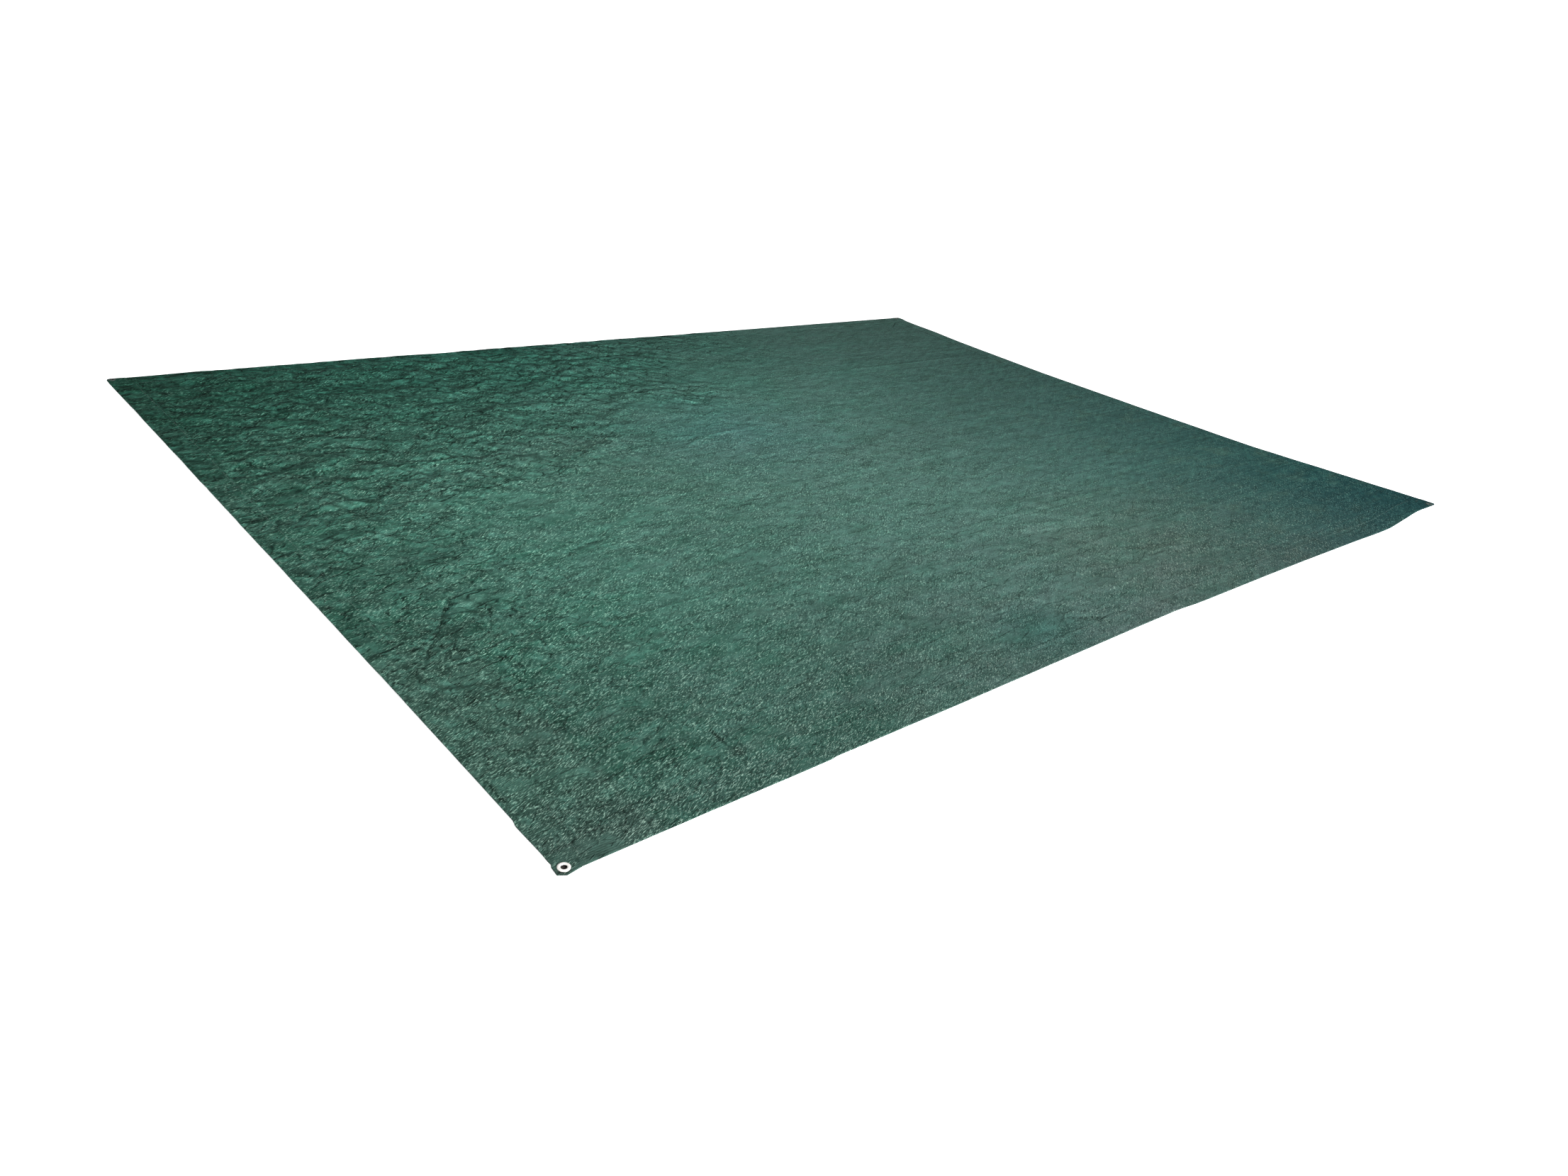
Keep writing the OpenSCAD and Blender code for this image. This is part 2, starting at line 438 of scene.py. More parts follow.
# The tapes slant across the knitted rows, which run along X. Bundles of tapes slant more.
TAPE = (8.0 * MM, 2.1 * MM, 8.0 * MM)
TAPE_SLANT = math.radians(24)
BUNDLE = (15 * MM, 4.2 * MM, 15 * MM)
BUNDLE_SLANT = math.radians(38)
ROW_PITCH = 5.5 * MM
# Sizes of the other marks in metres, along X, along Y and up
RAGGED = (0.35, 0.2, 1)
BROAD = (0.42, 0.22, 1)
BLOTCH = (0.11, 0.055, 1)
GREY_PATCH = (0.16, 0.08, 1)
SHARD = (0.036, 0.066, 1)
RIB = (0.7, 0.012, 1)
STREAK = (0.10, 0.022, 1)
CALM_PATCH = (0.19, 0.10, 1)
# The nets of crinkles: size, turn, and a shift that keeps the two apart
CRINKLE_NETS = (((0.13, 0.045, 1), 0.12, 0), ((0.055, 0.022, 1), 0.35, 7))
# How much of its radius a tint's outline comes and goes
RAGGED_SHARE = 0.14
WANDER_SCALE = 9.0
WANDER = 0.9
# How strongly each mark shows, 0 to 1
STRIP_GREY = 0.7
PATCH_GREY = 0.5
VALLEY_DARK = 0.8
RIDGE_LIGHT = 0.35
SHARD_SHOWS = 0.32
CRINKLE_DARK = 0.88
TAPE_GAP_SHADE = 0.75
TAPE_GLINT_SHOWS = 0.72
# The relief is shaded steeper than it is built, because the size rule keeps it low
RELIEF_GAIN = 2.4
SHARD_DEPTH = 10.0 * MM
CRINKLE_DEPTH = 3.5 * MM
ROW_DEPTH = 0.35 * MM
WEAVE_DEPTH = 1.4 * MM
FLECK_DEPTH = 0.6 * MM
CLOTH_SPECULAR = 0.06


def ground_colour(s, axis):
    """The green of the cloth: painted sheen turns it paler to the right, then painted shade turns it
    slate at the front right, with dull patches.
    """
    # Painted sheen: paler green away from the left edge and the front edge
    painted_sheen = s.times(s.remap(axis["X"], -2.1, -0.2), s.remap(axis["Y"], -1.8, -0.6, 0.5, 1.0))
    broad = s.noise(s.stretched(BROAD), detail=3)
    blotch = s.noise(s.stretched(BLOTCH, shift=(3, 0, 0)), detail=3, rough=0.6)
    share = s.plus(s.times(painted_sheen, 0.9), s.remap(broad, 0.3, 0.7, -0.12, 0.12))
    share = s.plus(share, s.remap(blotch, 0.3, 0.7, -0.22, 0.22), clamp=True)
    colour = s.mix(share, DEEP_GREEN, SHEEN_GREEN)
    # Painted shade: a darker slate towards the front right
    slate = s.times(s.remap(axis["X"], 0.2, 1.9), s.remap(axis["Y"], 1.6, -1.0))
    colour = s.mix(slate, colour, SLATE_SHADE)
    strip = s.times(s.remap(axis["X"], -1.765, -1.79), s.remap(axis["Y"], -0.55, -0.75))
    colour = s.mix(s.times(strip, STRIP_GREY), colour, GREYED)
    patchy = s.noise(s.stretched(GREY_PATCH, shift=(0, 5, 0)), detail=2)
    return s.mix(s.remap(patchy, 0.53, 0.68, 0.0, PATCH_GREY), colour, GREYED)


def crinkle_net(s, slack, wander):
    """Thin broken lines, 1 on a line, fewer where the cloth is taut."""
    lines = []
    for size, turn, shift in CRINKLE_NETS:
        bent = s.bent(size, turn, shift, wander)
        net = s.cells(bent, "DISTANCE_TO_EDGE").outputs["Distance"]
        broken = s.remap(s.noise(bent, 1.6, 3), 0.50, 0.60)
        line = s.times(s.remap(net, 0.065, 0.015), broken)
        lines.append(s.times(line, s.remap(slack, 0.0, 0.5, 0.25, 1.0)))
    return s.math("MAXIMUM", *lines)


def crease_colour(s, colour, crinkle, shards, loose):
    """Painted shade in valleys and painted highlight on ridges, in the cloth's own relief and in the
    finest marks.
    """
    valley = s.attribute("valley")
    colour = s.mix(s.remap(valley, 0.10, 0.6, 0.0, VALLEY_DARK), colour, SHADE)
    colour = s.mix(s.remap(valley, -0.05, -0.6, 0.0, RIDGE_LIGHT), colour, RIDGE_HIGHLIGHT)
    # The small facets: painted shade at their folds, painted highlight in their middles
    shows = s.times(loose, SHARD_SHOWS)
    colour = s.mix(s.times(s.remap(shards, 0.5, 0.8), shows), colour, SHADE)
    colour = s.mix(s.times(s.remap(shards, 0.45, 0.1), shows), colour, RIDGE_HIGHLIGHT)
    # Painted shade along the crinkles
    return s.mix(s.times(crinkle, CRINKLE_DARK), colour, SHADE)


def rib_shading_colour(s, colour, axis, slack):
    """Painted shade and painted highlight along ribs on X and slanting streaks, plainer where the cloth
    is crumpled.
    """
    ribs = s.noise(s.stretched(RIB), detail=2, rough=0.7)
    streaks = s.noise(s.stretched(STREAK, 0.5, (0, 3, 0)), detail=3, rough=0.65)
    uneven = s.plus(s.times(ribs, 0.5), s.times(streaks, 0.5))
    # How strongly the ribs' painted shade and painted highlight show
    worn = s.times(s.remap(slack, 0.0, 0.4, 0.5, 0.2), s.remap(axis["Y"], -1.2, 0.6, 0.6, 0.9))
    colour = s.mix(s.times(s.remap(uneven, 0.52, 0.3), worn), colour, SHADE)
    return s.mix(s.times(s.remap(uneven, 0.5, 0.75), worn), colour, RIDGE_HIGHLIGHT)


def smooth_wedge(s, axis):
    """1 on the smooth cloth beside the near eyelet, along the front edge."""
    slope = s.times(s.plus(axis["X"], HALF_L - 0.02), 0.5)
    wedge = s.remap(s.minus(slope, s.plus(axis["Y"], HALF_W)), -0.002, 0.004)
    return s.times(wedge, s.remap(axis["X"], -1.86, -1.875))


def fleck_amount(s, axis, corner, flecks):
    """How strongly single tapes show, in bump and in painted glints and shade: most at the near left,
    calmer in patches and to the right.
    """
    calm = s.noise(s.stretched(CALM_PATCH, shift=(0, 9, 0)), detail=2)
    calm = s.remap(calm, 0.34, 0.50, 0.35, 1.0)
    left = s.remap(axis["X"], 1.1, -1.5)
    close = s.math("MAXIMUM", left, s.remap(axis["Y"], -0.7, -1.5, 0.0, 0.65))
    calm = s.times(calm, s.remap(smooth_wedge(s, axis), 0, 1, 1.0, 0.12))
    nearest = s.remap(corner, -2.0, -3.3, 0.0, 0.3)
    return s.times(calm, s.plus(nearest, s.remap(close, 0, 1, 0.25, 0.85 * flecks)))


def cloth_material(name, flecks=1.0, tone=1.0):
    """Knitted plastic tape: green, with slanting tapes that catch the light, and rows along X."""
    s = Shader(name)
    axis = s.node("SeparateXYZ", {"Vector": s.coords}).outputs
    slack = s.attribute("slack")
    wander = s.node("TexNoise", {"Vector": s.coords, "Scale": WANDER_SCALE, "Detail": 2.0})
    wander = s.node("VectorMath", {0: wander.outputs["Color"], "Scale": WANDER}, operation="SCALE")
    crinkle = crinkle_net(s, slack, wander.outputs[0])
    # Small flat facets with sharp folds between them
    shards = s.cells(s.bent(SHARD, 0.45, 5, wander.outputs[0])).outputs["Distance"]
    loose = s.remap(slack, 0.0, 0.45, 0.12, 1.0)
    corner = s.plus(axis["X"], axis["Y"])
    amount = fleck_amount(s, axis, corner, flecks)
    tape = s.noise(s.stretched(TAPE, TAPE_SLANT), detail=2.0, rough=0.6)
    bundle = s.noise(s.stretched(BUNDLE, BUNDLE_SLANT), detail=1.5, rough=0.6)
    coarse = s.remap(corner, -3.2, -0.6, 0.15, 0.6)
    weave = s.plus(tape, s.times(s.minus(bundle, tape), coarse))
    light = s.remap(weave, 0.55, 0.64)
    dark = s.remap(weave, 0.48, 0.38)

    colour = crease_colour(s, ground_colour(s, axis), crinkle, shards, loose)
    colour = rib_shading_colour(s, colour, axis, slack)
    # Painted shade in the gaps between tapes, and painted glints on the tapes
    colour = s.mix(s.times(dark, s.times(amount, TAPE_GAP_SHADE)), colour, SHADE)
    colour = s.mix(s.times(light, s.times(amount, TAPE_GLINT_SHOWS)), colour, TAPE_GLINT)
    for centre, radius, tint in TINTS.values():
        colour = s.mix(s.blob(centre, radius), colour, tint, "MULTIPLY")
    if tone != 1.0:
        colour = s.mix(1.0, colour, (tone, tone, tone), "MULTIPLY")

    rows = s.math("SINE", s.times(axis["Y"], 2 * math.pi / ROW_PITCH))
    normal = s.bump(s.times(s.attribute("relief"), RELIEF_GAIN), 1.0)
    normal = s.bump(shards, SHARD_DEPTH, loose, normal)
    normal = s.bump(crinkle, CRINKLE_DEPTH, 0.8, normal)
    normal = s.bump(rows, ROW_DEPTH, 0.4, normal)
    normal = s.bump(weave, WEAVE_DEPTH, s.remap(amount, 0, 1, 0.1, 0.9), normal)
    normal = s.bump(s.minus(light, dark), FLECK_DEPTH, amount, normal)
    rough = s.remap(tape, 0.3, 0.7, 0.52, 0.76)
    return s.finish(
        Base_Color=colour, Roughness=rough, Normal=normal, Specular_IOR_Level=CLOTH_SPECULAR,
    )


THREAD_DARK = (0.010, 0.040, 0.030)
THREAD_LIGHT = (0.030, 0.085, 0.066)
THREAD_WORN = (0.10, 0.16, 0.13)
TWIST = 1.1 * MM


def thread_material():
    """Twisted polyester thread, a darker green than the cloth."""
    s = Shader("sewing_thread")
    twist = s.stretched((TWIST,) * 3, 0.8)
    ply = s.node("TexWave", {"Vector": twist, "Scale": 1.0, "Distortion": 0.6}).outputs["Fac"]
    worn = s.noise(s.stretched((0.02,) * 3), detail=2)
    colour = s.mix(s.remap(ply, 0, 1, 0, 0.6), THREAD_DARK, THREAD_LIGHT)
    colour = s.mix(s.remap(worn, 0.5, 0.8, 0, 0.3), colour, THREAD_WORN)
    return s.finish(
        Base_Color=colour, Roughness=0.62, Sheen_Weight=0.2, Normal=s.bump(ply, 0.15 * MM, 0.7),
    )


SHADE_BELOW_PATCH = (0.010, 0.008, 0.006)
SCRATCH = (0.4 * MM, 6 * MM, 6 * MM)
CLOUD = (4 * MM, 4 * MM, 4 * MM)


def metal_material(name, colour, stain, rough, bare):
    """Stamped metal with fine scratches, a little dirt, and painted shade low down. bare is the share
    without oxide.
    """
    s = Shader(name)
    scratch = s.noise(s.stretched(SCRATCH, 0.6), detail=3, rough=0.7)
    cloud = s.noise(s.stretched(CLOUD), detail=3)
    tint = s.mix(s.remap(cloud, 0.45, 0.75, 0.0, 0.6), colour, stain)
    tint = s.mix(s.remap(scratch, 0.6, 0.75, 0.0, 0.35), tint, stain)
    # Painted shade, nearly black, fills the barrel, below the top of the patch
    depth = s.node("SeparateXYZ", {"Vector": s.coords}).outputs["Z"]
    below_patch_shade = s.remap(depth, PATCH_TOP + 0.5 * MM, PATCH_TOP - 0.3 * MM, 0.0, 0.97)
    tint = s.mix(below_patch_shade, tint, SHADE_BELOW_PATCH)
    gloss = s.remap(cloud, 0.3, 0.7, rough - 0.08, rough + 0.10)
    gloss = s.plus(gloss, s.remap(scratch, 0.5, 0.8, 0.0, 0.12))
    normal = s.bump(scratch, 0.05 * MM, 0.5)
    return s.finish(Base_Color=tint, Metallic=bare, Roughness=gloss, Normal=normal)


# ---------------------------------------------------------------- panel

# The panel stops this far inside the hems' folded edges
EDGE_GAP = 1.3 * MM
# Spacing of the panel's points, from the crumpled left and the front to the far right and the back
FINEST = 8.5 * MM
COARSEST_X = 14 * MM
COARSEST_Y = 12 * MM


def clipped(x, y, inset):
    """Moves nominal places in from the four cut corners, and leaves the rest of the cloth alone."""
    room_x, room_y = HALF_L - inset, HALF_W - inset
    squeeze = np.maximum(CORNER_CUT - (room_y - np.abs(y)), 0.0)
    return x - np.sign(x) * squeeze * smooth(0.45, 0.0, room_x - np.abs(x)), y


def panel():
    """The main panel: a closed sheet, with an upper face, an underside and a rim."""
    columns = graded(-HALF_L + EDGE_GAP, HALF_L - EDGE_GAP, FINEST, COARSEST_X)
    rows = graded(-HALF_W + EDGE_GAP, HALF_W - EDGE_GAP, FINEST, COARSEST_Y)
    x, y = clipped(*np.meshgrid(columns, rows), EDGE_GAP)
    top, under = place(x, y, CLOTH_T), place(x, y, 0.0)
    tall, wide = x.shape
    faces = grid_faces(tall, wide) + grid_faces(tall, wide, tall * wide, flip=True)
    rim = [*range(wide), *range(2 * wide - 1, tall * wide, wide),
           *range(tall * wide - 2, (tall - 1) * wide - 1, -1), *range((tall - 2) * wide, 0, -wide)]
    for a, b in zip(rim, rim[1:] + rim[:1]):
        faces.append([b, a, a + tall * wide, b + tall * wide])
    painted = {key: np.tile(np.ravel(values), 2) for key, values in marks(x, y).items()}
    points = np.concatenate([top.reshape(-1, 3), under.reshape(-1, 3)])
    made = new_piece("sheet_panel", points, faces, CLOTH, painted)
    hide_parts("panel")
    return made


# ---------------------------------------------------------------- hems

# Each hem's half length, and the nominal place that is s along it and t in from its folded edge
HEM_RUNS = {
    "front": (HALF_L, lambda s, t: (s, t - HALF_W)),
    "back": (HALF_L, lambda s, t: (-s, HALF_W - t)),
    "left": (HALF_W, lambda s, t: (t - HALF_L, -s)),
    "right": (HALF_W, lambda s, t: (HALF_L - t, s)),
}
HEM_GAP = 0.15 * MM
HEM_LOOSE = 0.9 * MM
HEM_STEP = 10 * MM
RAW_EDGE_WAVE = 1.2 * MM
SEAM_INSET = 7 * MM


def hem_rise(t, along, seed):
    """How far a hem stands off the cloth under it: loose by its fold, held down by its sewing."""
    loose = 0.5 + 0.5 * noise(along / 0.11, 0 * along, seed)
    return HEM_LOOSE * loose * smooth(HEM_W - SEAM_INSET, 8 * MM, t) + HEM_GAP


def hem_section():
    """The hem's section: distance from its folded edge, and its face or the share of its height."""
    across = np.linspace(HEM_W, 4 * MM, 9)
    under = [(t, "under") for t in [*across, EDGE_GAP - 0.1 * MM]]
    over = [(t, "over") for t in [1.6 * MM, *across[::-1]]]
    nose = [(EDGE_GAP - 0.1 * MM, 0.0), (0.4 * MM, 0.06), (0.0, 0.35), (0.0, 0.65), (0.4 * MM, 0.92)]
    return under + nose + over


def mitre(t):
    """How far from the corner a hem's end is, at a distance from its folded edge."""
    return max(CORNER_CUT - t, t + 0.3 * MM)


def hem(name):
    """One hem: a closed band, rounded at its fold, that lies on the panel's edge."""
    half, spot = HEM_RUNS[name]
    seed = 60 + list(HEM_RUNS).index(name)
    along = np.linspace(-half, half, int(2 * half / HEM_STEP) + 1)
    rings, painted = [], {"valley": [], "relief": [], "slack": []}
    for t, level in hem_section():
        on_raw_edge = t > HEM_W - 1 * MM
        wave = RAW_EDGE_WAVE * noise(along / 0.19, 0 * along + 0.5, seed + 20) * on_raw_edge
        s = along - np.sign(along) * mitre(t) * smooth(0.4, 0.0, half - np.abs(along))
        x, y = spot(s, t + wave)
        rise = hem_rise(t, along, seed)
        base = CLOTH_T + rise
        top = base + CLOTH_T
        height = base if level == "under" else top if level == "over" else level * top
        rings.append(place(x, y, height))
        for key, values in marks(x + 0 * along, y + 0 * along).items():
            painted[key].append(values)
    faces = grid_faces(len(rings), len(along), close_rows=True, flip=True)
    size = len(along)
    faces.append([r * size for r in range(len(rings))][::-1])
    faces.append([r * size + size - 1 for r in range(len(rings))])
    made = new_piece(f"hem_band_{name}", np.stack(rings), faces, HEM_CLOTH, painted)
    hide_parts(f"hem_{name}")
    return made


# ---------------------------------------------------------------- sewing

STITCH = 6 * MM
STITCH_PITCH = 8 * MM
THREAD_R = 0.5 * MM


def stitch_row(name, path, node):
    """A row of separate stitches along a path of points, each one sunk at both ends."""
    path = np.asarray(path)
    run = np.concatenate([[0], np.cumsum(np.linalg.norm(np.diff(path, axis=0), axis=1))])
    count = int(run[-1] / STITCH_PITCH)
    around = np.linspace(0, 2 * math.pi, 6, endpoint=False)
    spans = np.linspace(-0.5, 0.5, 6)
    points, faces = [], []
    for i in range(count):
        middle = (i + 0.5) * run[-1] / count
        at = middle + spans * STITCH
        centre = np.stack([np.interp(at, run, path[:, k]) for k in range(3)], -1)
        ahead = centre[-1] - centre[0]
        ahead /= np.linalg.norm(ahead)
        aside = np.array([-ahead[1], ahead[0], 0.0])
        arch = np.cos(math.pi * spans * 0.96)
        centre[:, 2] += THREAD_R * (0.9 * arch - 0.5)
        wide = THREAD_R * np.sqrt(arch)
        first = len(points) * len(around)
        for c, w in zip(centre, wide):
            ring = [c + w * (math.cos(a) * aside + math.sin(a) * np.array([0, 0, 0.85])) for a in around]
            points.append(ring)
        faces += grid_faces(len(spans), len(around), first, close_columns=True, flip=True)
        faces.append([first + k for k in range(len(around))])
        last = first + (len(spans) - 1) * len(around)
        faces.append([last + k for k in reversed(range(len(around)))])
    made = new_piece(name, np.array(points), faces, THREAD)
    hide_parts(node)
    return made


def hem_sewing(name):
    """The stitches along a hem, over the CAD's line of sewing."""
    low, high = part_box(f"seam_{name}")
    middle = (low + high) / 2
    steps = np.linspace(0, 1, 300)[:, None]
    start = np.array([low.x, middle.y] if name in ENDS else [middle.x, low.y])
    end = np.array([high.x, middle.y] if name in ENDS else [middle.x, high.y])
    line = start + (end - start) * steps
    path = place(line[:, 0], line[:, 1], HEM_TOP + HEM_GAP)
    return stitch_row(f"hem_sewing_{name}", path, f"seam_{name}")


def patch_sewing(corner):
    """The stitches along a patch's two inner edges."""
    side, end = CORNERS[corner]
    low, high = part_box(f"patch_seam_{corner}")
    outer_x, inner_x = (low.x, high.x) if side < 0 else (high.x, low.x)
    outer_y, inner_y = (low.y, high.y) if end < 0 else (high.y, low.y)
    bend = [(inner_x, outer_y), (inner_x, inner_y), (outer_x, inner_y)]
    steps = np.linspace(0, 1, 12)[:, None]
    legs = [np.array(a) + (np.array(b) - np.array(a)) * steps for a, b in zip(bend, bend[1:])]
    line = np.concatenate([legs[0], legs[1][1:]])
    path = place(line[:, 0], line[:, 1], PATCH_TOP)
    return stitch_row(f"patch_sewing_{corner}", path, f"patch_seam_{corner}")


# ---------------------------------------------------------------- corner patches

# Each patch's outer outline in mm, inwards from the cut corner: along X, along Y
EARS = {
    "front_left": ((0, 34), (-3.5, 27), (-5.4, 4), (10, -4.8), (34, -0.8)),
    "front_right": ((-19, 36), (-20, 6), (-13, 0.5), (20, 0), (40, 0.5)),
    "back_left": ((-1, 36), (-0.5, 10), (4, 1), (14, -2), (36, -2)),
    "back_right": ((-19, 36), (-21, 9), (-14, -1), (16, -3), (36, -3)),
}
PLY_ROUND = 0.25 * MM
PLY_GAP = 0.05 * MM
# Points round each patch
SWEEP = 144


def reach_to(centre, outline, angles):
    """How far an outline is from a point inside it, in each direction."""
    start = np.asarray(outline) - centre
    side = np.roll(start, -1, axis=0) - start
    ray = np.stack([np.cos(angles), np.sin(angles)], -1)[:, None]
    cross = ray[..., 0] * side[:, 1] - ray[..., 1] * side[:, 0]
    cross = np.where(np.abs(cross) < 1e-12, 1e-12, cross)
    distance = (start[:, 0] * side[:, 1] - start[:, 1] * side[:, 0]) / cross
    share = (start[:, 0] * ray[..., 1] - start[:, 1] * ray[..., 0]) / cross
    hit = (distance > 0) & (share >= -1e-6) & (share <= 1 + 1e-6)
    return np.where(hit, distance, np.inf).min(1)


def ring_solid(centre, reach, section):
    """A ring-shaped solid. Its section gives an inner radius, a share of the way out, more, height."""
    angles = np.linspace(0, 2 * math.pi, len(reach), endpoint=False)
    rings = []
    for inner, share, out, height in section:
        r = inner * (1 - share) + (reach + out) * share
        rings.append(np.stack([centre[0] + r * np.cos(angles), centre[1] + r * np.sin(angles),
                               height + 0 * r], -1))
    return rings, grid_faces(len(rings), len(reach), close_rows=True, close_columns=True)


def ply_edge(bottom, top):
    """The outer edge of one layer of cloth, rounded above and below."""
    return [(0, 1, -PLY_ROUND, bottom), (0, 1, 0, bottom + PLY_ROUND),
            (0, 1, 0, top - PLY_ROUND), (0, 1, -PLY_ROUND, top)]


def corner_patch(corner):
    """A square ply sewn over the hems, and the folded plies that fill the cut corner under it."""
    side, end = CORNERS[corner]
    low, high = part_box(f"eyelet_{corner}")
    centre = np.array([(low.x + high.x) / 2, (low.y + high.y) / 2])

    def spot(inward_x, inward_y):
        return spread(np.array(side * (HALF_L - inward_x)), np.array(end * (HALF_W - inward_y)))

    ear = [(side * (HALF_L - a * MM), end * (HALF_W - b * MM)) for a, b in EARS[corner]]
    plate = [spot(0, PATCH_W), *ear, spot(PATCH_W, 0), spot(PATCH_W, PATCH_W)]
    filler = [spot(0, CORNER_CUT), *ear, spot(CORNER_CUT, 0)]
    angles = np.linspace(0, 2 * math.pi, SWEEP, endpoint=False)
    hole = HOLE_R + 0.6 * MM
    recess = WASHER_R + 0.1 * MM
    plate_section = (
        [(hole, 0, 0, HEM_TOP + PLY_GAP), (hole, 0, 0, PATCH_TOP)]
        + [(hole, share, 0, PATCH_TOP) for share in (0.2, 0.4, 0.6, 0.8, 0.93)]
        + ply_edge(HEM_TOP, PATCH_TOP)[::-1]
        + [(hole, share, 0, HEM_TOP + PLY_GAP) for share in (0.8, 0.5, 0.2)]
    )
    filler_section = (
        [(hole, 0, 0, WASHER_T), (hole, 0, 0, HEM_TOP)]
        + [(hole, share, 0, HEM_TOP) for share in (0.3, 0.7, 0.93)]
        + ply_edge(CLOTH_T, HEM_TOP)[::-1]
        + ply_edge(0, CLOTH_T)[::-1]
        + [(recess, share, 0, 0.0) for share in (0.6, 0)]
        + [(recess, 0, 0, WASHER_T)]
    )
    rings, faces = ring_solid(centre, reach_to(centre, plate, angles), plate_section)
    points = np.concatenate(rings)
    more, more_faces = ring_solid(centre, reach_to(centre, filler, angles), filler_section)
    faces += [[i + len(points) for i in face] for face in more_faces]
    points = np.concatenate([points, *more])
    made = new_piece(f"corner_patch_{corner}", points, faces, PATCH_CLOTH)
    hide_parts(f"patch_{corner}")
    return made


# ---------------------------------------------------------------- eyelets and washers


RIM_H = 0.35 * MM
BARREL_WALL = 0.45 * MM
# The crown of the flange, as a share of the way from the hole to the rim
CROWN = 0.46
EYELET_SWEEP = 96


def eyelet_section():
    """The eyelet's section as (radius, height): the flange's outside, over its crown, the barrel."""
    crown_r = HOLE_R + CROWN * (FLANGE_R - HOLE_R)
    foot = PATCH_TOP + RIM_H
    rise = EYELET_TOP - PATCH_TOP - RIM_H
    turn = np.linspace(0, math.pi / 2, 14)
    outer = [(crown_r + (FLANGE_R - crown_r) * math.cos(a), foot + rise * math.sin(a)) for a in turn]
    inner = [(crown_r - (crown_r - HOLE_R) * math.sin(a), foot + rise * math.cos(a)) for a in turn]
    return [
        (FLANGE_R - 0.1 * MM, PATCH_TOP), *outer, *inner[1:],
        (HOLE_R, PATCH_TOP - 1 * MM), (HOLE_R, 0.8 * MM),
        (HOLE_R + 0.1 * MM, 0.2 * MM), (HOLE_R + 0.3 * MM, 0.0),
        (HOLE_R + BARREL_WALL, 0.0), (HOLE_R + BARREL_WALL, PATCH_TOP),
    ]


def eyelet(corner):
    """A stamped eyelet: a domed flange that rolls down into its barrel."""
    low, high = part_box(f"eyelet_{corner}")
    centre = np.array([(low.x + high.x) / 2, (low.y + high.y) / 2])
    angles = np.linspace(0, 2 * math.pi, EYELET_SWEEP, endpoint=False)
    rings = []
    for r, z in eyelet_section():
        across = (centre[0] + r * np.cos(angles), centre[1] + r * np.sin(angles))
        rings.append(np.stack([*across, z + 0 * angles], -1))
    faces = grid_faces(len(rings), len(angles), close_rows=True, close_columns=True, flip=True)
    metal = METAL if corner == "front_left" else DULL_METAL
    made = new_piece(f"eyelet_ring_{corner}", np.stack(rings), faces, metal)
    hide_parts(f"eyelet_{corner}")
    return made


def washers():
    """The washers under the cloth are right as they are, and get a worn zinc finish, which lies below
    the patch's top and so is painted nearly black with shade.
    """
    made = [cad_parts[f"washer_{corner}"] for corner in CORNERS]
    for washer in made:
        for slot in washer.material_slots:
            slot.material = ZINC
    return made


# ---------------------------------------------------------------- studio


FLOOR_HALF = 40.0
FLOOR_DROP = -0.5 * MM
FLOOR_GLOW = 0.75
SPOT_DROP = -0.25 * MM
SHADOW_DARK = (0.004, 0.003, 0.003)
SHADOW_PALE = (0.020, 0.014, 0.011)
# The dome's light is DOME_BASE + DOME_TOP * height ** DOME_POWER, and even below DOME_EVEN.
# The camera sees it at DOME_SEEN instead.
DOME_EVEN = 0.5
DOME_POWER = 2.5
DOME_TOP = 0.7
DOME_BASE = 0.02
DOME_SEEN = 1.2
# Each lamp: place, what it points at, size in metres, power in watts
KEY = ((-0.9, -7.5, 3.2), (-0.3, 0.2, 0.0), 1.4, 1300)
TOP = ((0.0, -1.2, 3.2), (0.0, -1.0, 0.0), 1.6, 60)
CAMERA_AT = (-2.8162, -2.7711, 1.3279)
CAMERA_TURN = (63.783, -7.116, -41.164)
LENS = 25.413
SENSOR = 36


def stage_mesh(name, points, material):
    """A flat face that belongs to the studio, not to the sheet."""
    mesh = bpy.data.meshes.new(name)
    mesh.from_pydata(points, [], [list(range(len(points)))])
    mesh.materials.append(material)
    made = bpy.data.objects.new(name, mesh)
    bpy.context.scene.collection.objects.link(made)


def floor():
    """A plain white floor, with a slight glow of its own that keeps it white up to the horizon."""
    signs = ((-1, -1), (1, -1), (1, 1), (-1, 1))
    s = Shader("studio_floor")
    grain = s.noise(s.stretched((0.02,) * 3), detail=2)
    white = s.finish(
        Base_Color=s.mix(grain, (0.90, 0.90, 0.90), (0.92, 0.92, 0.92)),
        Roughness=0.9, Specular_IOR_Level=0.1,
        Emission_Color=(1.0, 1.0, 1.0, 1.0), Emission_Strength=FLOOR_GLOW,
    )
    points = [(i * FLOOR_HALF, j * FLOOR_HALF, FLOOR_DROP) for i, j in signs]
    stage_mesh("studio_floor", points, white)


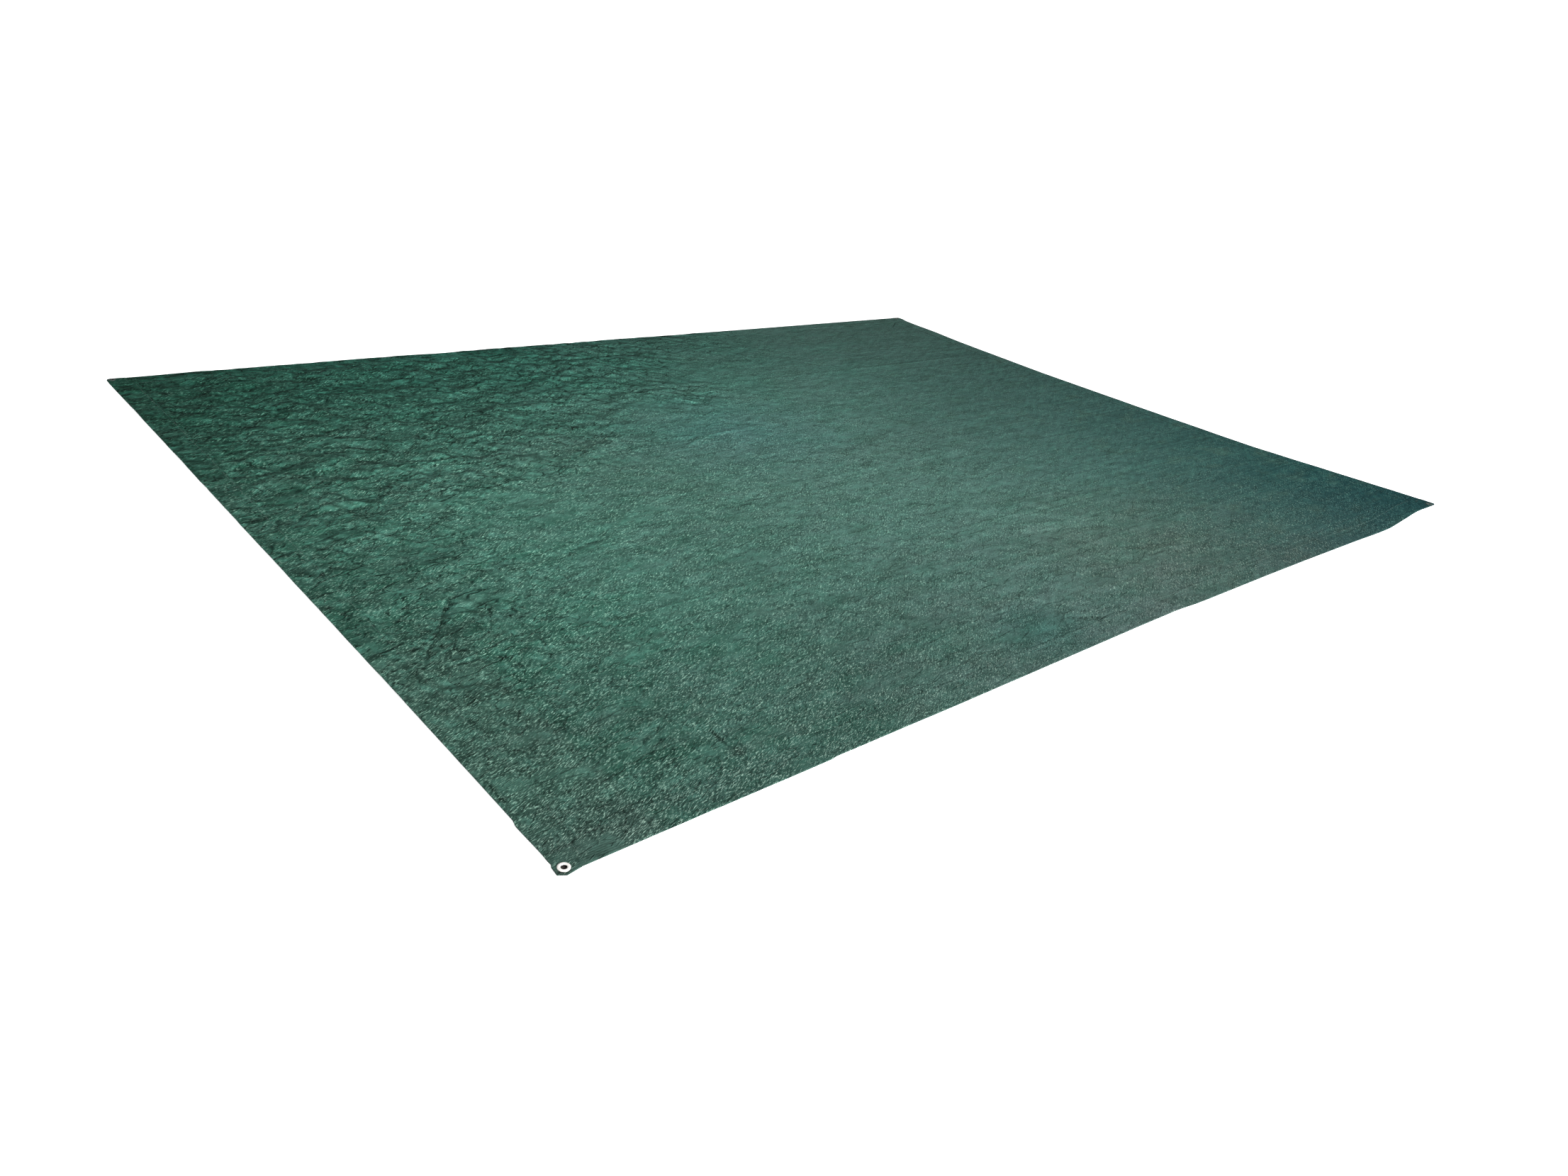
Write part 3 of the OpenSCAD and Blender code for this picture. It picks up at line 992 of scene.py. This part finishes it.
def painted_shadow_spots():
    """Painted shadow under each eyelet: a dark disc on the floor, which shows only down through its
    hole.
    """
    angles = np.linspace(0, 2 * math.pi, 48, endpoint=False)
    s = Shader("painted_shadow_disc")
    grit = s.noise(s.stretched((1.5 * MM,) * 3), detail=4, rough=0.7)
    shadow_disc = s.finish(Base_Color=s.mix(grit, SHADOW_DARK, SHADOW_PALE), Roughness=0.95)
    reach = 2 * HOLE_R
    for corner in CORNERS:
        low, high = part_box(f"eyelet_{corner}")
        middle = (low + high) / 2
        ring = [(middle.x + reach * math.cos(a), middle.y + reach * math.sin(a), SPOT_DROP)
                for a in angles]
        stage_mesh(f"shadow_spot_{corner}", ring, shadow_disc)


def soft_light(name, at, towards, size, power):
    data = bpy.data.lights.new(name, "AREA")
    data.size = size
    data.energy = power
    lamp = bpy.data.objects.new(name, data)
    lamp.location = at
    aim = np.array(towards) - np.array(at)
    lamp.rotation_euler = Vector(aim).to_track_quat("-Z", "Y").to_euler()
    lamp.visible_camera = False
    bpy.context.scene.collection.objects.link(lamp)


def studio():
    """A dome brightest overhead, which the camera sees as plain white, and two soft lamps."""
    scene = bpy.context.scene
    scene.view_settings.view_transform = "Standard"
    scene.world = bpy.data.worlds.new("studio")
    scene.world.use_nodes = True
    tree = scene.world.node_tree
    direction = tree.nodes.new("ShaderNodeTexCoord").outputs["Generated"]
    axis = tree.nodes.new("ShaderNodeSeparateXYZ")
    tree.links.new(direction, axis.inputs[0])
    height = tree.nodes.new("ShaderNodeMath")
    height.operation = "MAXIMUM"
    height.inputs[1].default_value = DOME_EVEN
    tree.links.new(axis.outputs["Z"], height.inputs[0])
    curve = tree.nodes.new("ShaderNodeMath")
    curve.operation = "POWER"
    curve.inputs[1].default_value = DOME_POWER
    tree.links.new(height.outputs[0], curve.inputs[0])
    level = tree.nodes.new("ShaderNodeMath")
    level.operation = "MULTIPLY_ADD"
    level.inputs[1].default_value = DOME_TOP
    level.inputs[2].default_value = DOME_BASE
    tree.links.new(curve.outputs[0], level.inputs[0])
    ray = tree.nodes.new("ShaderNodeLightPath")
    seen = tree.nodes.new("ShaderNodeMix")
    tree.links.new(ray.outputs["Is Camera Ray"], seen.inputs[0])
    tree.links.new(level.outputs[0], seen.inputs[2])
    seen.inputs[3].default_value = DOME_SEEN
    background = tree.nodes["Background"]
    tree.links.new(seen.outputs[0], background.inputs["Strength"])
    background.inputs["Color"].default_value = (1.0, 1.0, 1.0, 1.0)
    soft_light("key", *KEY)
    soft_light("top", *TOP)


def camera():
    data = bpy.data.cameras.new("camera")
    data.sensor_width = SENSOR
    data.lens = LENS
    made = bpy.data.objects.new("camera", data)
    made.location = CAMERA_AT
    made.rotation_euler = [math.radians(a) for a in CAMERA_TURN]
    bpy.context.scene.collection.objects.link(made)
    bpy.context.scene.camera = made


# ---------------------------------------------------------------- the whole sheet

camera()
studio()
floor()
painted_shadow_spots()

CLOTH = cloth_material("knitted_tape")
HEM_CLOTH = cloth_material("knitted_tape_hem", flecks=0.85)
PATCH_CLOTH = cloth_material("knitted_tape_patch", flecks=0.8, tone=0.9)
THREAD = thread_material()
METAL = metal_material("stamped_aluminium", (0.93, 0.91, 0.87), (0.50, 0.48, 0.44), 0.38, 0.55)
DULL_METAL = metal_material("tarnished_aluminium", (0.10, 0.13, 0.12), (0.03, 0.05, 0.04), 0.55, 0.8)
ZINC = metal_material("worn_zinc", (0.60, 0.61, 0.63), (0.28, 0.27, 0.26), 0.45, 1.0)

sheet = panel()
on_sheet = [hem(name) for name in HEM_RUNS]
on_sheet += [hem_sewing(name) for name in HEM_RUNS]
on_sheet += [corner_patch(corner) for corner in CORNERS]
on_sheet += [patch_sewing(corner) for corner in CORNERS]
on_sheet += [eyelet(corner) for corner in CORNERS]
on_sheet += washers()
